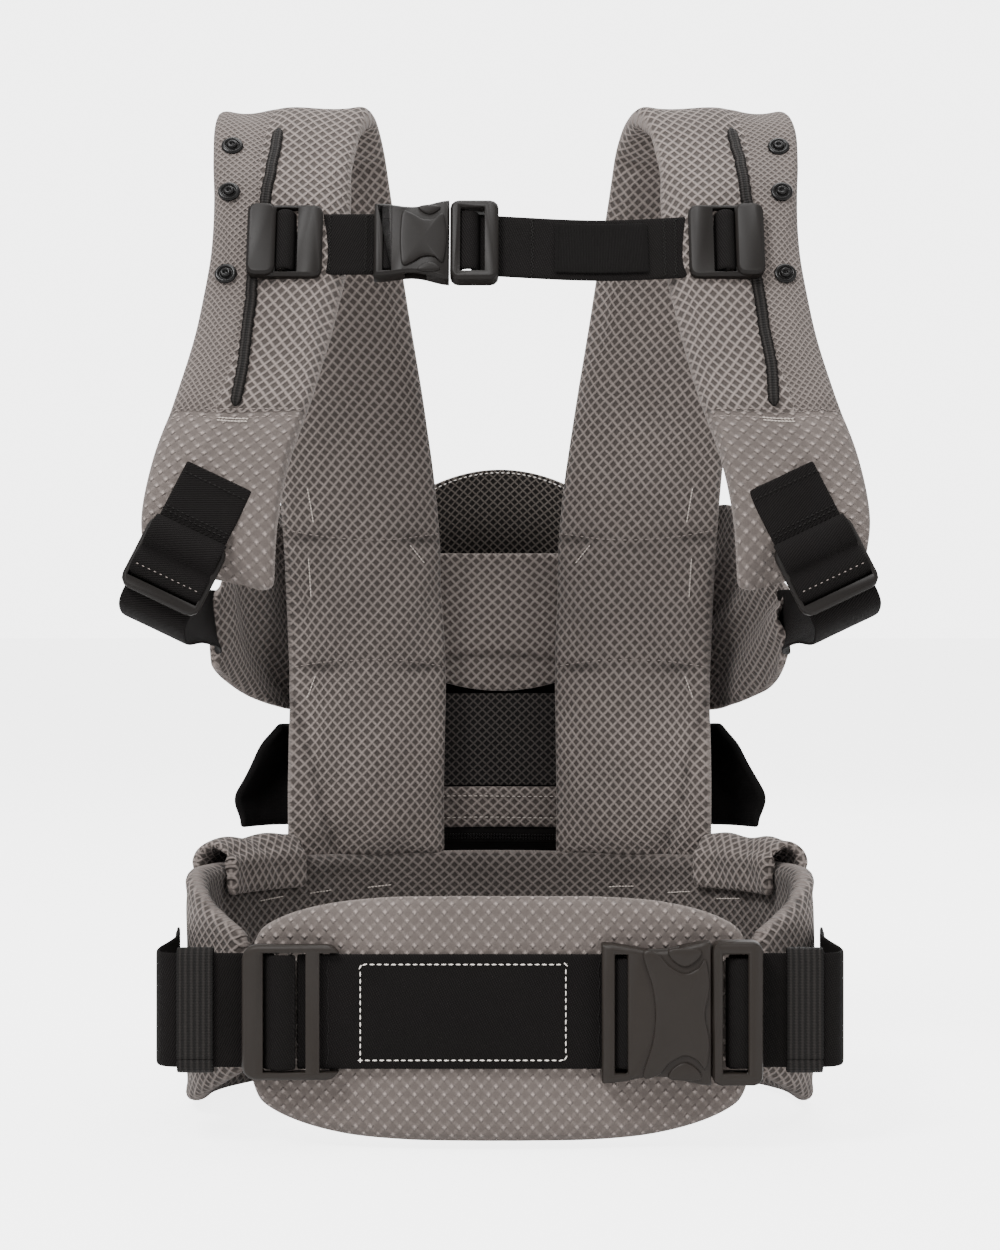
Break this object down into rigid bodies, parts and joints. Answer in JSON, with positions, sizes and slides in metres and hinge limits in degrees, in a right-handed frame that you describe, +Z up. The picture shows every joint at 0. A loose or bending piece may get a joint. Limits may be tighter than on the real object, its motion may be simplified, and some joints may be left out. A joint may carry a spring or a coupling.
{
  "type": "soft baby carrier",
  "caption": "Soft baby carrier: padded shoulder straps and waist belt with an outer baby panel, fold-down head support, webbing, slide buckles and an adjustable chest strap.",
  "frame": {"origin": "middle of the bounding box left to right and front to back, at the bottom edge of the waist belt", "axes": "+Z up, +Y the way the wearer faces, +X to the wearer's right"},
  "size_m": [0.3311, 0.276, 0.4753],
  "materials": {
    "grey_mesh": "padded 3-D knit mesh",
    "dark_mesh": "inner face of the mesh",
    "black_lining": "matt knit lining",
    "black_mesh": "open mesh",
    "webbing": "woven polyester webbing",
    "zip": "woven tape and coil",
    "patch": "plain woven patch",
    "elastic": "ribbed elastic",
    "chest_plastic": "fine texture",
    "waist_plastic": "fine texture",
    "snap": "satin"
  },
  "bodies": {
    "carrier": {"waist_belt": "grey_mesh", "lumbar_pad": "grey_mesh", "outer_panel": "grey_mesh", "panel_lining": "black_lining", "inner_band": "dark_mesh", "mesh_window": "black_mesh", "lower_band": "dark_mesh", "seat_zip": "zip", "waist_webbing": "webbing", "waist_socket": "waist_plastic", "belt_webbing_left": "webbing", "belt_webbing_right": "webbing", "shoulder_strap_left": "grey_mesh", "chest_rail_left": "elastic", "snap_left_1": "snap", "snap_left_2": "snap", "snap_left_3": "snap", "side_panel_left": "grey_mesh", "leg_wing_left": "black_lining", "leg_tab_left": "grey_mesh", "strap_tab_left": "webbing", "adjuster_webbing_left": "webbing", "shoulder_strap_right": "grey_mesh", "chest_rail_right": "elastic", "snap_right_1": "snap", "snap_right_2": "snap", "snap_right_3": "snap", "side_panel_right": "grey_mesh", "leg_wing_right": "black_lining", "leg_tab_right": "grey_mesh", "strap_tab_right": "webbing", "adjuster_webbing_right": "webbing"},
    "head": {"head_support": "grey_mesh", "head_mesh": "black_mesh"},
    "chest_left": {"chest_slider_left": "chest_plastic", "chest_webbing_left": "webbing", "chest_socket": "chest_plastic"},
    "chest_right": {"chest_slider_right": "chest_plastic"},
    "chest_plug": {"chest_plug": "chest_plastic", "chest_webbing_right": "webbing", "label_patch": "patch"},
    "chest_arm_upper": {"chest_prong_upper": "chest_plastic"},
    "chest_arm_lower": {"chest_prong_lower": "chest_plastic"},
    "waist_plug": {"waist_plug": "waist_plastic"},
    "waist_arm_upper": {"waist_prong_upper": "waist_plastic"},
    "waist_arm_lower": {"waist_prong_lower": "waist_plastic"},
    "waist_slider": {"triglide": "waist_plastic", "triglide_loop": "webbing"},
    "keeper_left": {"keeper_left": "elastic"},
    "keeper_right": {"keeper_right": "elastic"},
    "lock_left": {"ladder_lock_left": "chest_plastic", "lock_roll_left": "webbing"},
    "lock_right": {"ladder_lock_right": "chest_plastic", "lock_roll_right": "webbing"}
  },
  "joints": [
    {"name": "chest_height_left", "type": "slide", "parent": "carrier", "child": "chest_left", "axis": [0.0865, 0.3308, 0.9397], "range_m": [-0.045, 0.005]},
    {"name": "chest_height_right", "type": "slide", "parent": "carrier", "child": "chest_right", "axis": [-0.0865, 0.3308, 0.9397], "range_m": [-0.045, 0.005]},
    {"name": "chest_plug_out", "type": "slide", "parent": "chest_left", "child": "chest_plug", "axis": [1, 0, 0], "range_m": [0, 0.026], "deforming": ["chest_webbing_right", "label_patch"]},
    {"name": "chest_arm_upper_squeeze", "type": "hinge", "parent": "chest_plug", "child": "chest_arm_upper", "pos_m": [-0.0233, -0.07767, 0.41176], "axis": [0, 0.9433, -0.332], "range_deg": [-4, 0], "stiffness_Nm_per_rad": 0.02},
    {"name": "chest_arm_lower_squeeze", "type": "hinge", "parent": "chest_plug", "child": "chest_arm_lower", "pos_m": [-0.0233, -0.08537, 0.38988], "axis": [0, -0.9433, 0.332], "range_deg": [-4, 0], "stiffness_Nm_per_rad": 0.02},
    {"name": "waist_plug_out", "type": "slide", "parent": "carrier", "child": "waist_plug", "axis": [1, 0, 0], "range_m": [0, 0.034], "deforming": ["belt_webbing_right"]},
    {"name": "waist_arm_upper_squeeze", "type": "hinge", "parent": "waist_plug", "child": "waist_arm_upper", "pos_m": [0.0907, -0.13225, 0.08], "axis": [0, 1, 0], "range_deg": [-5, 0], "stiffness_Nm_per_rad": 0.04},
    {"name": "waist_arm_lower_squeeze", "type": "hinge", "parent": "waist_plug", "child": "waist_arm_lower", "pos_m": [0.0907, -0.13225, 0.04], "axis": [0, -1, 0], "range_deg": [-5, 0], "stiffness_Nm_per_rad": 0.04},
    {"name": "waist_slider_shift", "type": "slide", "parent": "carrier", "child": "waist_slider", "axis": [1, 0, 0], "range_m": [0, 0.005]},
    {"name": "keeper_left_shift", "type": "slide", "parent": "carrier", "child": "keeper_left", "axis": [1, 0, 0], "range_m": [0, 0.008]},
    {"name": "keeper_right_shift", "type": "slide", "parent": "waist_plug", "child": "keeper_right", "axis": [-1, 0, 0], "range_m": [0, 0.008]},
    {"name": "lock_left_tilt", "type": "hinge", "parent": "carrier", "child": "lock_left", "pos_m": [-0.13522, -0.12501, 0.26616], "axis": [-0.9027, 0.0028, 0.4302], "range_deg": [0, 20]},
    {"name": "lock_right_tilt", "type": "hinge", "parent": "carrier", "child": "lock_right", "pos_m": [0.13522, -0.12501, 0.26616], "axis": [-0.9027, -0.0028, -0.4302], "range_deg": [0, 20]},
    {"name": "head_support_fold", "type": "hinge", "parent": "carrier", "child": "head", "pos_m": [0, 0.132, 0.2625], "axis": [-1, 0, 0], "range_deg": [0, 90]}
  ],
  "couplings": [
    {"joint": "chest_height_right", "follows": "chest_height_left", "ratio": 1},
    {"joint": "chest_arm_lower_squeeze", "follows": "chest_arm_upper_squeeze", "ratio": 1},
    {"joint": "waist_arm_lower_squeeze", "follows": "waist_arm_upper_squeeze", "ratio": 1}
  ]
}
